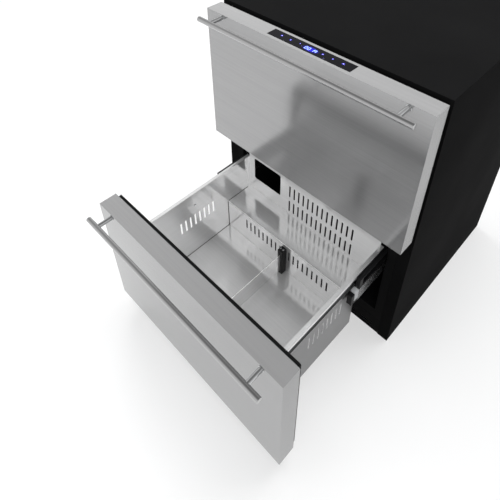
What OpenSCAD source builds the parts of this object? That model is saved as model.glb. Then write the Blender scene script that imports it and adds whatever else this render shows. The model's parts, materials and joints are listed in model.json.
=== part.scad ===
// Undercounter refrigerator with two drawers, the lower one pulled out.
// X runs across the front, Y runs from the front to the back, Z is up from the floor.
// Sizes and places below count Y from the face of the front frame. The last lines
// move every piece so that the origin is the centre of the footprint.

/* [Cabinet] */
// Width over the side panels
cab_w = 600; // [540:1:760]
// Depth from the frame face to the back panel
cab_d = 545; // [500:1:620]
// Height above the floor
cab_h = 812; // [780:1:880]
// Thickness of the outer steel wrap
shell_t = 1; // [0.8:0.1:1.4]
// Height of the wrap's lower edge above the floor
floor_gap = 4; // [3:0.5:5]
// Width of the wrap's folded front flange
flange_w = 30; // [26:1:34]
// Thickness of the front frame and the kick grille
frame_t = 2; // [1.5:0.1:2.5]
// Thickness of each side wall with its insulation
wall_w = 53; // [50:1:58]
// Distance from a drawer front's edge to its opening
opening_inset = 32; // [30:1:34]
// Thickness of the inner liner
liner_t = 2; // [1.5:0.1:2.5]
// Thickness of the back insulation
back_foam = 46; // [42:1:50]
// Depth of the bar behind the rail between the drawers
mullion_d = 28; // [20:1:34]

/* [Kick grille and base] */
// Height of the grille's top edge
kick_h = 62; // [60:1:64]
// Length of a grille slot
kick_slot_l = 37; // [30:1:42]
// Height of a grille slot
kick_slot_h = 4; // [3:0.5:6]
// Spacing of the grille slots
kick_pitch = 51; // [46:1:54]
// Height of the lower row of grille slots
kick_row_z = 15; // [14:1:18]
// Spacing of the two rows
kick_row_step = 13; // [10:1:16]
// Thickness of the base pan and the bay panel
pan_t = 1.5; // [1:0.1:2]
// Height of the base pan's underside
pan_z = 10; // [9.6:0.1:11]
// Radius of a levelling foot's pad
foot_r = 18; // [14:1:24]
// Thickness of the pad
foot_t = 5.5; // [4:0.5:6]
// Radius of a foot's stud
stud_r = 4; // [3:0.5:5]
// Distance of a foot from the side and the ends of the cabinet
foot_inset = 50; // [40:1:60]

/* [Drawer fronts] */
// Step from a cabinet side to a drawer front's edge
side_reveal = 3; // [1:0.5:8]
// Thickness of a drawer front
front_t = 45; // [42:1:60]
// Depth of the gasket behind a drawer front
gasket_d = 10; // [8:0.5:14]
// Height of the lower front's bottom edge
lower_front_z = 66; // [65:1:67]
// Height of the lower front
lower_front_h = 358; // [320:1:400]
// Gap between the two fronts
front_split = 6; // [3:1:8]
// Drop of the upper front's top edge below the cabinet top
top_reveal = 6; // [3:1:10]
// Thickness of the stainless skin
skin_t = 1; // [0.8:0.1:1.5]
// Thickness of the inner panel of a front
panel_t = 2; // [1.5:0.1:3]
// Distance of the gasket from a front's edge
gasket_inset = 5; // [3:1:8]
// Width of the gasket
gasket_w = 20; // [14:1:22]

/* [Handles] */
// Diameter of the handle bar
bar_d = 12.7; // [11:0.1:16]
// Distance from a front's edge to the bar's end
bar_inset = 17; // [8:1:40]
// Diameter of the standoffs
post_d = 10.5; // [8:0.1:11]
// Distance from the bar's end to a standoff's axis
post_inset = 35; // [20:1:80]
// Distance from the front to the bar's axis
handle_reach = 40; // [34:1:50]
// Drop of the handle's axis below the front's top edge
handle_drop = 8; // [7:0.5:30]

/* [Control strip] */
// Width of the glass strip
glass_w = 220; // [180:1:260]
// Depth of the glass strip
glass_d = 28.5; // [20:0.5:29]
// Thickness of the glass
glass_t = 3; // [2:0.5:4]
// Distance from the front's back edge to the glass
glass_back = 7.5; // [6:0.5:10]
// Depth of the plastic housing under the glass
housing_h = 16; // [12:1:24]

/* [Drawer tubs] */
// Space for a slide between a tub's inner face and the opening's edge
slide_w = 23; // [22:0.5:27]
// Free depth behind the closed tubs, up to the evaporator's cover
tub_gap = 68; // [40:1:80]
// Sheet thickness of the tubs
tub_t = 1.2; // [0.8:0.1:1.5]
// Height of a tub's floor above its opening's lower edge
tub_rise = 20; // [16:1:26]
// Drop of a tub's rim below its opening's upper edge
rim_drop = 50; // [44:1:56]
// Drop of a rear panel's top below the opening's upper edge
wall_drop = 20; // [16:1:24]
// Width of the rim folded outwards
rim_w = 9; // [6:0.5:9]
// Clearance between the step and the hump under it
step_gap = 12.8; // [8:0.2:16]
// Depth of the step
step_run = 92; // [80:1:110]
// Width of a ventilation slot
slot_w = 5; // [3:0.5:7]
// Spacing of the ventilation slots
slot_pitch = 16.2; // [15:0.1:16.5]
// Length of a slot in the side walls and the rear panel
slot_l = 42.5; // [30:0.5:44]
// Distance from a tub's front to the first slot in its side
side_slot_inset = 123; // [100:1:135]
// Length of a slot in the step
step_slot_l = 38; // [30:1:44]

/* [Divider] */
// Height of the divider plate
plate_h = 67; // [50:1:80]
// Thickness of the divider plate
plate_t = 1.5; // [1:0.1:2]
// Height of the plate above the tub floor
plate_lift = 10; // [6:1:14]
// Width of a divider clip
clip_w = 18; // [14:1:24]
// Length of a divider clip along the plate
clip_l = 18; // [14:1:24]
// Height of a divider clip
clip_h = 94; // [92:1:96]

/* [Slides] */
// Thickness of the slide profiles
rail_t = 1.5; // [1.2:0.1:1.8]
// Height of the drawer member
member_h = 34; // [30:1:38]
// Distance from a closed middle member to the cabinet's front
middle_front = 80; // [60:1:90]
// Height of the carrier bar under a middle member
carrier_h = 41; // [30:1:44]
// Length of the pulled-out lower tub that is still inside the cabinet
open_margin = 14; // [4:1:80]

/* [Machinery] */
// Height of the bay floor panel over the air channel
channel_z = 58.5; // [57:0.5:59]
// Thickness of the insulation between the bay and the hump over it
hump_foam = 26; // [20:1:32]
// Thickness of the insulation in front of the bay
bay_foam = 32; // [24:1:36]
// Radius of the compressor shell
comp_r = 68; // [56:1:74]
// Height of the compressor shell
comp_h = 118; // [100:1:130]
// Radius of the condenser fan
cond_fan_r = 58; // [50:1:66]
// Radius of the evaporator fan
evap_fan_r = 50; // [40:1:55]
// Radius of the refrigerant tubes
tube_r = 3; // [2.5:0.1:3.5]

/* [Hidden] */
$fn = 48;
LOWER = 0;
UPPER = 1;
// Overrun of every cut
over = 1;
// Gap between neighbouring sheets and round pushed-in pieces
seam = 0.4;
// Gap between a piece that moves and its neighbour
slack = 0.3;
// Radial gap of a shaft in its bore
run_fit = 0.05;
// Radial gap of a standoff's saddle round its bar
saddle_fit = 0.02;
half_share = 0.5;

// Heights of the two fronts, openings and tubs, the lower first
front_z0 = [lower_front_z, lower_front_z + lower_front_h + front_split];
front_z1 = [lower_front_z + lower_front_h, cab_h - top_reveal];
open_z0 = [for (z = front_z0) z + opening_inset];
open_z1 = [for (z = front_z1) z - opening_inset];
front_w = cab_w - 2 * side_reveal;
bar_l = front_w - 2 * bar_inset;
post_spread = bar_l - 2 * post_inset;
floor_z = [for (z = open_z0) z + tub_rise];
rim_z = [for (z = open_z1) z - rim_drop];
wall_z = [for (z = open_z1) z - wall_drop];

// Cabinet
side_x = cab_w / 2 - shell_t;
frame_x = cab_w / 2 - flange_w - seam;
top_z = cab_h - shell_t;
back_t = 1;
back_y = cab_d - back_t;
liner_x = cab_w / 2 - wall_w;
liner_y1 = back_y - back_foam;
liner_z0 = open_z0[LOWER];
liner_z1 = open_z1[UPPER];
liner_flange = 32;
channel_top = channel_z + pan_t;
pan_top = pan_z + pan_t;
grille_gap = 2;
kick_edge = 10;
kick_n = floor(2 * (frame_x - kick_edge) / kick_pitch);
rear_slot_rows = 7;
rear_slot_l = 70;
rear_slot_h = 5;
rear_slot_pitch = 16;
rear_slot_step = 100;
rear_slot_z = 34;
rear_slot_edge = 80;
rear_slot_cols = floor(2 * (side_x - rear_slot_edge) / rear_slot_step);

// Places along Y
cover_d = 56;
cover_t = 1.5;
cover_gap = 3;
cover_y = liner_y1 - cover_d;
front_y1 = -gasket_d;
front_y0 = front_y1 - front_t;
bar_y = front_y0 - handle_reach;
tub_y0 = front_y1;
tub_y1 = cover_y - tub_gap;
step_y = tub_y1 - step_run;
hump_gap = 10;
hump_y = step_y + hump_gap;
bay_y = hump_y + liner_t + bay_foam;
lower_open = tub_y1 - tub_y0 - open_margin;
drawer_y = [-lower_open, 0];
middle_y = drawer_y * half_share;
glass_y1 = front_y1 - glass_back;
glass_y0 = glass_y1 - glass_d;
housing_wall = 2;

// Levelling feet
boss_wall = 5;
boss_r = stud_r + boss_wall;
boss_h = 20;
stud_out = 14;
stud_top = pan_top + boss_h + stud_out;
nut_share = 1.9;

// Tubs
tub_x = liner_x - slide_w;
side_slot_n = 8;
side_slot_y = tub_y0 + side_slot_inset;
side_slot_share = 0.56;
port_inset = 21;
port_w = 102;
port_drop_shares = [0.6933, 0.18];
port_r = 6;
port_x = [-tub_x + port_inset, -tub_x + port_inset + port_w];
port_gap = 35;
rear_slot_x = port_x[1] + port_gap;
rear_edge = 79;
rear_cols = floor((tub_x - rear_edge - rear_slot_x) / slot_pitch) + 1;
row_drop = 33.5;
row_gap = 15;
rear_flange = 12;
step_edge = 77;
step_cols = 2 * floor((tub_x - step_edge) / slot_pitch) + 1;
step_slot_share = 0.644;

// Slides, for the right side, counted from the tub wall
member_w = 6;
tongue_gap = 1.3;
middle_gap = 2;
rail_gap = 1.5;
lip_gap = 0.5;
run_gap = 0.6;
middle_drop = 6;
member_inset = 6;
neck_w = 3;
neck_h = 6;
block_l = 26;
cap_l = 12;
tab_w = 20;
tab_h = 15;
member_x0 = tub_x + tub_t;
member_x1 = member_x0 + member_w;
tongue_x = member_x0 + rail_t + tongue_gap;
middle_x0 = member_x1 + middle_gap;
rail_x0 = middle_x0 + neck_w + lip_gap;
rail_x1 = liner_x;
middle_x1 = rail_x1 - rail_t - rail_gap;
member_y0 = tub_y0 + member_inset;
member_y1 = tub_y1 - member_inset;
rail_y0 = 8;
rail_end_gap = 49;
middle_end_gap = 3;
rail_y1 = cover_y - rail_end_gap;
middle_y1 = rail_y1 - middle_end_gap;

// Screws
screw_r = 2;
screw_head_r = 4;
screw_head_t = 2.2;
rivet_head_t = 1.2;
rivet_head_r = 3;
handle_screw_l = 8;
screw_inset = 20;
tub_screw_inset = 54;
tub_screw_x = tub_x - tub_screw_inset;
tub_screw_drops = [26, 100];
rivet_insets = [175, 366];
rivet_drop = 42;

// Compressor and condenser
comp_gap = 3;
comp_feet = [176, 120];
comp_feet_t = 2;
comp_x = cab_w / 2 - foot_inset - boss_r - comp_gap - comp_feet[0] / 2;
dome_share = 0.45;
grommet_r = 9;
grommet_h = 12;
stub_wall = 2;
stub_r = tube_r + stub_wall;
stub_h = 6;
comp_top = pan_top + grommet_h + comp_feet_t + comp_h + stub_h;
cond_x = -120;
cond_t = 40;
cond_d = 170;
cond_rail = 3;
cond_rows = 4;
ring_wall = 5;
shroud_gap = 4;
shroud_t = 2;
cond_mid = cond_x + cond_t / 2;
cond_top = pan_top + 2 * (cond_fan_r + shroud_gap + ring_wall);
cond_z1 = cond_top - stub_h;
cond_y = (bay_y + back_y) / 2;
fin_t = 0.6;
fin_pitch = 8;

// Fans
fan_t = 14;
fan_gap = 6;
hub_r = 15;
shaft_r = 2;
motor_r = 20;
motor_l = 24;
motor_leg = 8;
blade_t = 1.6;
blade_tilt = 32;
shroud_x = cond_x + cond_t + fan_gap;
fan_x = shroud_x + shroud_t + fan_gap;
fan_z = (pan_top + cond_top) / 2;
cond_motor_x = fan_x + fan_t + fan_gap;

// Refrigerant lines, the bay's roof and the hump over it
line_gap = 10;
line_z = max(comp_top, cond_top) + line_gap;
suction_gap = 11;
suction_z = 100;
elbow_share = 1.25;
tube_inset = 22;
tube_x = liner_x - tube_inset;
tube_y = back_y - back_foam / 2;
comp_y = tube_y - comp_r - stub_h - suction_gap;
bay_gap = 19;
bay_z = line_z + bay_gap;
bay_top = bay_z + pan_t;
hump_z = bay_top + hump_foam + liner_t;
step_z = hump_z + step_gap + tub_t;
drier_x = -170;
drier_y = back_y - back_foam;
drier_r = 10;
drier_h = 90;

// Evaporator
cover_z0 = hump_z + cover_gap;
cover_z1 = liner_z1 - cover_gap;
evap_gap = 6;
evap_t = 36;
evap_inset = 67;
evap_x = liner_x - evap_inset;
evap_rise = 24;
evap_h = 180;
evap_rows = 4;
evap_plate = 2;
evap_mid = liner_y1 - evap_gap - evap_t / 2;
evap_z0 = cover_z0 + evap_rise;
evap_fan_z = (evap_z0 + evap_h + cover_z1) / 2;
evap_motor_l = 18;
return_edge = 50;
return_n = floor((liner_x - return_edge) / (2 * slot_pitch));
tube_z = evap_z0 + evap_h / 2;

// Electrics
box_size = [86, 120, 70];
box_gap = 6;
gland_out = 4;
gland_r = 8;
gland_bore = 4;
gland_inset = 54;
gland_x = -side_x + gland_inset;
gland_z = 60;
gland_flange = 12;
gland_l = 22;

// Divider in the open lower drawer
clip_grip = 4;
clip_ribs = 4;
rib_w = 1.4;
rib_h = 1;
divider_y0 = tub_y0 + tub_t + slack - lower_open;
divider_y1 = step_y - slack - lower_open;
plate_y = [divider_y0 + clip_l - clip_grip, divider_y1 - clip_l + clip_grip];
plate_z = floor_z[LOWER] + plate_lift;

// The whole model is moved so that the origin is the centre of its footprint
front_most = bar_y - bar_d / 2 - lower_open;
back_most = cab_d + gland_out;
origin_y = -(front_most + back_most) / 2;

// A box from its lower to its upper limits
module span(x, y, z) {
    translate([x[0], y[0], z[0]])
        cube([x[1] - x[0], y[1] - y[0], z[1] - z[0]]);
}

// Limits either side of zero
function both(v) = [-v, v];

// Limits moved by the same amount
function moved(v, by) = [v[0] + by, v[1] + by];

// Limits grown by the same amount at both ends
function grown(v, by) = [v[0] - by, v[1] + by];

// The piece and its mirror image on the other side
module sides() {
    children();
    mirror([1, 0, 0]) children();
}

// An upright slot with round ends that cuts along Y
module slot(length, width, depth) {
    rotate([90, 0, 0]) linear_extrude(depth, center = true) {
        square([width, length - width], center = true);
        for (s = [-1, 1]) translate([0, s * (length - width) / 2]) circle(d = width);
    }
}

// A round bar along Y from one place to another
module bar_along_y(x, y, z, r) {
    translate([x, y[1], z]) rotate([90, 0, 0]) cylinder(r = r, h = y[1] - y[0]);
}

// A round bar along X from one place to another
module bar_along_x(x, y, z, r) {
    translate([x[0], y, z]) rotate([0, 90, 0]) cylinder(r = r, h = x[1] - x[0]);
}

// A tube through points that are joined by straight runs along the axes
module tube(points, r) {
    for (i = [1:len(points) - 1]) {
        a = points[i - 1];
        b = points[i];
        low = [for (k = [0:2]) min(a[k], b[k])];
        high = [for (k = [0:2]) max(a[k], b[k])];
        if (high[0] > low[0]) bar_along_x([low[0], high[0]], low[1], low[2], r);
        if (high[1] > low[1]) bar_along_y(low[0], [low[1], high[1]], low[2], r);
        if (high[2] > low[2]) translate(low) cylinder(r = r, h = high[2] - low[2]);
    }
    for (i = [1:1:len(points) - 2]) translate(points[i]) sphere(r = r * elbow_share);
}

// A profile in the Y and Z plane that runs across the whole width
module across(half_w, points) {
    rotate([90, 0, 90]) linear_extrude(2 * half_w, center = true) polygon(points);
}

// The steel wrap: both sides and the top, folded in at the front
module cabinet_shell() {
    color("#1c1c1d") difference() {
        span(both(cab_w / 2), [0, cab_d], [floor_gap, cab_h]);
        span(both(side_x), [shell_t, cab_d + over], [floor_gap - over, top_z]);
        span(both(cab_w / 2 - flange_w), [-over, shell_t + over],
            [floor_gap - over, cab_h - flange_w]);
    }
}

// The flat frame around both openings
module front_frame() {
    color("#222223") difference() {
        span(both(frame_x), [0, frame_t], [kick_h + seam, cab_h - flange_w - seam]);
        for (d = [LOWER, UPPER])
            span(both(liner_x), [-over, frame_t + over], [open_z0[d], open_z1[d]]);
    }
}

// The folded bar behind the rail between the drawers
module mullion_bar() {
    z = [open_z1[LOWER], open_z0[UPPER]];
    y = [frame_t, frame_t + mullion_d];
    color("#2a2a2b") difference() {
        span(both(liner_x), y, z);
        span(both(liner_x + over), [y[0] + frame_t, y[1] + over], grown(z, -frame_t));
    }
}

module kick_grille() {
    color("#202021") difference() {
        span(both(frame_x), [0, frame_t], [floor_gap + grille_gap, kick_h]);
        for (i = [0:kick_n - 1], row = [0, 1])
            translate([(i - (kick_n - 1) / 2) * kick_pitch, frame_t / 2,
                kick_row_z + row * kick_row_step])
                rotate([0, 90, 0]) slot(kick_slot_l, kick_slot_h, frame_t + 2 * over);
    }
}

// The cavity's outline, grown by t, with the hump over the machine bay
function cavity(t, y0) = [
    [y0, liner_z0 - t], [hump_y + t, liner_z0 - t], [hump_y + t, hump_z - t],
    [liner_y1 + t, hump_z - t], [liner_y1 + t, liner_z1 + t], [y0, liner_z1 + t]];

module inner_liner() {
    y0 = frame_t;
    color("#2b2c2e") difference() {
        union() {
            across(liner_x + liner_t, cavity(liner_t, y0));
            span(both(liner_x + liner_flange), [y0, y0 + liner_t],
                [liner_z0 - liner_flange, liner_z1 + liner_flange - liner_t]);
        }
        across(liner_x, cavity(0, y0 - over));
        suction_path(tube_r + seam);
    }
}

module foam_insulation() {
    y0 = frame_t + liner_t;
    color("#d8cfa8") difference() {
        across(side_x, [
            [y0, channel_top], [bay_y, channel_top], [bay_y, bay_top],
            [back_y, bay_top], [back_y, top_z], [y0, top_z]]);
        across(liner_x + liner_t, cavity(liner_t, y0 - over));
        suction_path(tube_r + seam);
    }
}

// The panel that parts the foam from the air channel and the compressor bay
module machine_bay_panel() {
    color("#9a9c9e") difference() {
        across(side_x, [
            [frame_t, channel_z], [bay_y + pan_t, channel_z], [bay_y + pan_t, bay_z],
            [back_y, bay_z], [back_y, bay_top], [bay_y, bay_top], [bay_y, channel_top],
            [frame_t, channel_top]]);
        suction_path(tube_r + seam);
    }
}

function foot_place(right, rear) = [
    (right ? 1 : -1) * (cab_w / 2 - foot_inset),
    rear ? cab_d - foot_inset : foot_inset];

// The bottom tray with a threaded boss for each foot
module base_pan() {
    color("#8d9092") difference() {
        union() {
            span(both(side_x), [frame_t, back_y], [pan_z, pan_top]);
            for (right = [false, true], rear = [false, true])
                translate(concat(foot_place(right, rear), pan_z))
                    cylinder(r = boss_r, h = pan_t + boss_h);
        }
        for (right = [false, true], rear = [false, true])
            translate(concat(foot_place(right, rear), pan_z - over))
                cylinder(r = stud_r + run_fit, h = pan_t + boss_h + 2 * over);
    }
}

// One levelling foot: pad, lock nut and stud
module foot(right, rear) {
    color("#1a1a1a") translate(foot_place(right, rear)) {
        cylinder(r = foot_r, h = foot_t);
        cylinder(r = stud_r * nut_share, h = pan_z - slack, $fn = 6);
        cylinder(r = stud_r, h = stud_top);
    }
}

// Places of the screws round a plate at the back
module back_screw_places(z) {
    for (x = both(side_x - screw_inset), k = z) translate([x, 0, k]) children();
}

panel_screw_z = [bay_top + screw_inset, (bay_top + top_z) / 2, top_z - screw_inset];
grille_screw_z = [pan_top + screw_inset, bay_z - screw_inset];

module back_panel() {
    color("#3a3b3c") difference() {
        span(both(side_x), [back_y, cab_d], [bay_top + seam, top_z]);
        back_screw_places(panel_screw_z)
            bar_along_y(0, [back_y - over, cab_d + over], 0, screw_r + run_fit);
    }
}

module rear_grille() {
    z = [pan_top, bay_top];
    color("#3a3b3c") difference() {
        span(both(side_x), [back_y, cab_d], z);
        for (col = [0:rear_slot_cols - 1], row = [0:rear_slot_rows - 1])
            translate([(col - (rear_slot_cols - 1) / 2) * rear_slot_step,
                back_y + back_t / 2, z[0] + rear_slot_z + row * rear_slot_pitch])
                rotate([0, 90, 0]) slot(rear_slot_l, rear_slot_h, back_t + 2 * over);
        bar_along_y(gland_x, [back_y - over, cab_d + over], gland_z, gland_r + run_fit);
        back_screw_places(grille_screw_z)
            bar_along_y(0, [back_y - over, cab_d + over], 0, screw_r + run_fit);
    }
}

// Screws of the back panel and the rear grille
module cabinet_screws() {
    color("#b9babb") back_screw_places(concat(panel_screw_z, grille_screw_z)) {
        bar_along_y(0, [back_y, cab_d], 0, screw_r);
        bar_along_y(0, [cab_d, cab_d + screw_head_t], 0, screw_head_r);
    }
}

// The strain relief for the mains cord
module power_gland() {
    color("#151515") difference() {
        union() {
            bar_along_y(gland_x, [cab_d - gland_l, cab_d], gland_z, gland_r);
            bar_along_y(gland_x, [cab_d, cab_d + gland_out], gland_z, gland_flange);
        }
        bar_along_y(gland_x, [cab_d - gland_l - over, cab_d + gland_out + over], gland_z,
            gland_bore);
    }
}

// A welded shell with a rounded top, on a plate with four feet
module compressor() {
    z0 = pan_top + grommet_h;
    z1 = z0 + comp_feet_t;
    dome = comp_r * dome_share;
    color("#161616") union() {
        translate([comp_x - comp_feet[0] / 2, comp_y - comp_feet[1] / 2, z0])
            cube([comp_feet[0], comp_feet[1], comp_feet_t]);
        translate([comp_x, comp_y, z1]) rotate_extrude() {
            square([comp_r, comp_h - dome]);
            translate([0, comp_h - dome]) square([comp_r - dome, dome]);
            translate([comp_r - dome, comp_h - dome]) intersection() {
                circle(r = dome);
                square(dome);
            }
        }
        translate([comp_x, comp_y, z1]) cylinder(r = stub_r, h = comp_h + stub_h);
        bar_along_y(comp_x, [comp_y, comp_y + comp_r + stub_h], suction_z, stub_r);
    }
}

module compressor_grommets() {
    color("#0e0e0e")
        for (x = both(comp_feet[0] / 2 - grommet_r), y = both(comp_feet[1] / 2 - grommet_r))
            translate([comp_x + x, comp_y + y, pan_top])
                cylinder(r = grommet_r, h = grommet_h);
}

// Finned block with the tubes that run through the fins
module condenser() {
    x = [cond_x, cond_x + cond_t];
    y = moved(both(cond_d / 2), cond_y);
    z = [pan_top, cond_z1];
    color("#3c3f42") {
        for (k = [y[0] : fin_pitch : y[1] - fin_t])
            span(x, [k, k + fin_t], grown(z, -cond_rail));
        span(x, y, [z[0], z[0] + cond_rail]);
        span(x, y, [z[1] - cond_rail, z[1]]);
        for (k = [1:cond_rows])
            bar_along_y(cond_mid, y, z[0] + k * (z[1] - z[0]) / (cond_rows + 1), tube_r);
        for (k = [comp_y, drier_y])
            translate([cond_mid, k, z[1] - cond_rail]) cylinder(r = stub_r, h = cond_rail + stub_h);
    }
}

module condenser_fan_shroud() {
    x = [shroud_x, shroud_x + shroud_t];
    color("#4a4c4e") difference() {
        span(x, moved(both(cond_d / 2), cond_y), [pan_top, cond_top]);
        bar_along_x(grown(x, over), cond_y, fan_z, cond_fan_r + shroud_gap);
    }
}

// A fan rotor about X: hub, bore and tilted blades
module rotor(r, blades) {
    root = hub_r / 2;
    difference() {
        union() {
            rotate([0, 90, 0]) cylinder(r = hub_r, h = fan_t);
            for (i = [0:blades - 1]) rotate([i * 360 / blades, 0, 0]) intersection() {
                translate([fan_t / 2, 0, root]) rotate([0, 0, blade_tilt])
                    translate([-fan_t / 2, -blade_t / 2, 0])
                        cube([fan_t, blade_t, r - root]);
                rotate([0, 90, 0]) cylinder(r = r, h = fan_t);
            }
        }
        bar_along_x([-over, fan_t + over], 0, 0, shaft_r + run_fit);
    }
}

module condenser_fan() {
    color("#101010") translate([fan_x, cond_y, fan_z]) rotor(cond_fan_r, 5);
}

module condenser_fan_motor() {
    x = [cond_motor_x, cond_motor_x + motor_l];
    color("#5b5d60") union() {
        bar_along_x(x, cond_y, fan_z, motor_r);
        bar_along_x([fan_x - shaft_r, x[0]], cond_y, fan_z, shaft_r);
        span([x[1] - motor_leg, x[1]], moved(both(motor_leg), cond_y), [pan_top, fan_z]);
    }
}

module evaporator() {
    x = both(evap_x);
    y = moved(both(evap_t / 2), evap_mid);
    z = [evap_z0, evap_z0 + evap_h];
    color("#b8bcc0") {
        for (k = [x[0] : fin_pitch : x[1] - fin_t]) span([k, k + fin_t], y, z);
        for (side = [x[0], x[1] - evap_plate])
            span([side, side + evap_plate], [y[0], liner_y1], z);
        for (k = [1:evap_rows])
            bar_along_x(x, evap_mid, z[0] + k * evap_h / (evap_rows + 1), tube_r);
        bar_along_x([x[1] - evap_plate, x[1] + stub_h], evap_mid, tube_z, stub_r);
    }
}

// The cover in front of the evaporator, with the fan's ring and return slots
module evaporator_cover() {
    x = both(liner_x - cover_gap);
    z = [cover_z0, cover_z1];
    color("#1d1e20") difference() {
        span(x, [cover_y, liner_y1], z);
        span(grown(x, -cover_t), [cover_y + cover_t, liner_y1 + over], grown(z, -cover_t));
        bar_along_y(0, [cover_y - over, cover_y + cover_t + over], evap_fan_z,
            evap_fan_r + shroud_gap);
        for (i = [-return_n:return_n])
            translate([2 * i * slot_pitch, cover_y + cover_t / 2, evap_z0 + slot_l])
                slot(slot_l, slot_w, cover_t + 2 * over);
    }
}

module evaporator_fan() {
    color("#202224") translate([0, cover_y + fan_gap, evap_fan_z]) rotate([0, 0, 90])
        rotor(evap_fan_r, 7);
}

module evaporator_fan_motor() {
    y0 = liner_y1 - evap_motor_l;
    color("#4e5154") union() {
        bar_along_y(0, [y0, liner_y1], evap_fan_z, motor_r);
        bar_along_y(0, [cover_y + fan_gap - shaft_r, y0], evap_fan_z, shaft_r);
        span(both(evap_fan_r), [liner_y1 - pan_t, liner_y1],
            moved(both(motor_r / 2), evap_fan_z));
    }
}

module control_box() {
    color("#dcdcd6") translate([-side_x + box_gap, bay_y + pan_t + box_gap, pan_top])
        cube(box_size);
}

// The route of the suction line from the evaporator to the compressor
module suction_path(r) {
    tube([[evap_x + stub_h, evap_mid, tube_z], [tube_x, evap_mid, tube_z],
        [tube_x, tube_y, tube_z], [tube_x, tube_y, suction_z], [comp_x, tube_y, suction_z],
        [comp_x, comp_y + comp_r + stub_h, suction_z]], r);
}

// Compressor to condenser, condenser to drier, and the suction line
module refrigerant_lines() {
    color("#b87345") {
        tube([[comp_x, comp_y, comp_top], [comp_x, comp_y, line_z],
            [cond_mid, comp_y, line_z], [cond_mid, comp_y, cond_top]], tube_r);
        tube([[cond_mid, drier_y, cond_top], [cond_mid, drier_y, line_z],
            [drier_x, drier_y, line_z], [drier_x, drier_y, pan_top + drier_h]], tube_r);
        translate([drier_x, drier_y, pan_top]) cylinder(r = drier_r, h = drier_h);
        suction_path(tube_r);
    }
}

// Heights of the drawer member and of the middle member of drawer d
function member_z(d) = [rim_z[d] - tub_t - member_h, rim_z[d] - tub_t];
function middle_z(d) = [member_z(d)[0], member_z(d)[1] - middle_drop];
function carrier_z(d) = [middle_z(d)[0] - neck_h - carrier_h, middle_z(d)[0] - neck_h];

// The fixed outer channel of each slide
module cabinet_rails() {
    y = [rail_y0, rail_y1];
    color("#8f9295") for (d = [LOWER, UPPER]) sides() {
        z = grown(middle_z(d), run_gap);
        span([rail_x1 - rail_t, rail_x1], y, grown(z, rail_t));
        span([rail_x0, rail_x1], y, [z[1], z[1] + rail_t]);
        span([rail_x0, rail_x1], y, [z[0] - rail_t, z[0]]);
    }
}

// The inner channels on both sides of a tub, with a tab for each rivet
module slide_members(d) {
    z = member_z(d);
    y = moved([member_y0, member_y1], drawer_y[d]);
    web = [member_x0, member_x0 + rail_t];
    color("#8a8d90") difference() {
        sides() {
            span(web, y, z);
            span([member_x0, member_x1], y, [z[1] - rail_t, z[1]]);
            span([member_x0, member_x1], y, [z[0], z[0] + rail_t]);
            for (k = rivet_insets)
                span(web, moved([0, tab_w], tub_y0 + k - tab_w / 2 + drawer_y[d]),
                    [z[0] - tab_h, z[0]]);
        }
        sides() rivet_places(d) bar_along_x(grown(web, over), 0, 0, screw_r + run_fit);
    }
}

// The middle channels between tub and cabinet, with the bar that stiffens them
module slide_middles(d) {
    m = member_z(d);
    z = middle_z(d);
    c = carrier_z(d);
    tongue = grown(m, -rail_t - run_gap);
    y = moved([middle_front, middle_y1], middle_y[d]);
    x = [middle_x0, middle_x1];
    foot_x = [middle_x0 - neck_w, middle_x1];
    color("#54575a") sides() {
        span([tongue_x, x[0] + rail_t], y, [tongue[1] - rail_t, tongue[1]]);
        span([tongue_x, x[0] + rail_t], y, [tongue[0], tongue[0] + rail_t]);
        span([x[0], x[0] + rail_t], y, [z[0], tongue[1]]);
        span(x, y, [z[1] - rail_t, z[1]]);
        span(x, y, [z[0], z[0] + rail_t]);
        span([x[0], x[0] + neck_w], y, [c[1], z[0]]);
        span(foot_x, y, [c[1] - rail_t, c[1]]);
        span([x[1] - rail_t, x[1]], y, c);
        span(foot_x, y, [c[0], c[0] + rail_t]);
    }
}

// The pale plastic blocks at the front ends of the bars
module end_blocks(d) {
    y1 = middle_front + middle_y[d];
    color("#d9dadb") sides()
        span([middle_x0 - neck_w, middle_x1], [y1 - block_l, y1], carrier_z(d));
}

// The black caps in the front ends of the middle channels
module end_caps(d) {
    y0 = middle_front + middle_y[d];
    color("#0d0d0d") sides() span([middle_x0 + rail_t, middle_x1], [y0, y0 + cap_l],
        grown(middle_z(d), -rail_t));
}

// Places of the handle's standoffs
module post_places(d) {
    for (x = both(post_spread / 2))
        translate([x, drawer_y[d], front_z1[d] - handle_drop]) children();
}

// Places of the screws that hold the tub to the inner panel
module tub_screw_places(d) {
    for (x = [-tub_screw_x, 0, tub_screw_x], drop = tub_screw_drops)
        translate([x, drawer_y[d], rim_z[d] - drop]) children();
}

// Places of the rivets that hold the right slide member to the tub
module rivet_places(d) {
    for (k = rivet_insets)
        translate([0, tub_y0 + k + drawer_y[d], rim_z[d] - rivet_drop]) children();
}

// The stainless pan that forms a drawer's face and edges
module front_skin(d) {
    z = [front_z0[d], front_z1[d]];
    color("#b9bbbd") difference() {
        translate([0, drawer_y[d], 0]) difference() {
            span(both(front_w / 2), [front_y0, front_y1], z);
            span(both(front_w / 2 - skin_t), [front_y0 + skin_t, front_y1 + over],
                grown(z, -skin_t));
            if (d == UPPER) span(both(glass_w / 2 + slack),
                grown([glass_y0, glass_y1], slack), [z[1] - skin_t - over, z[1] + over]);
        }
        post_places(d) bar_along_y(0, moved([-over, skin_t + over], front_y0), 0,
            screw_r + run_fit);
    }
}

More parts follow.
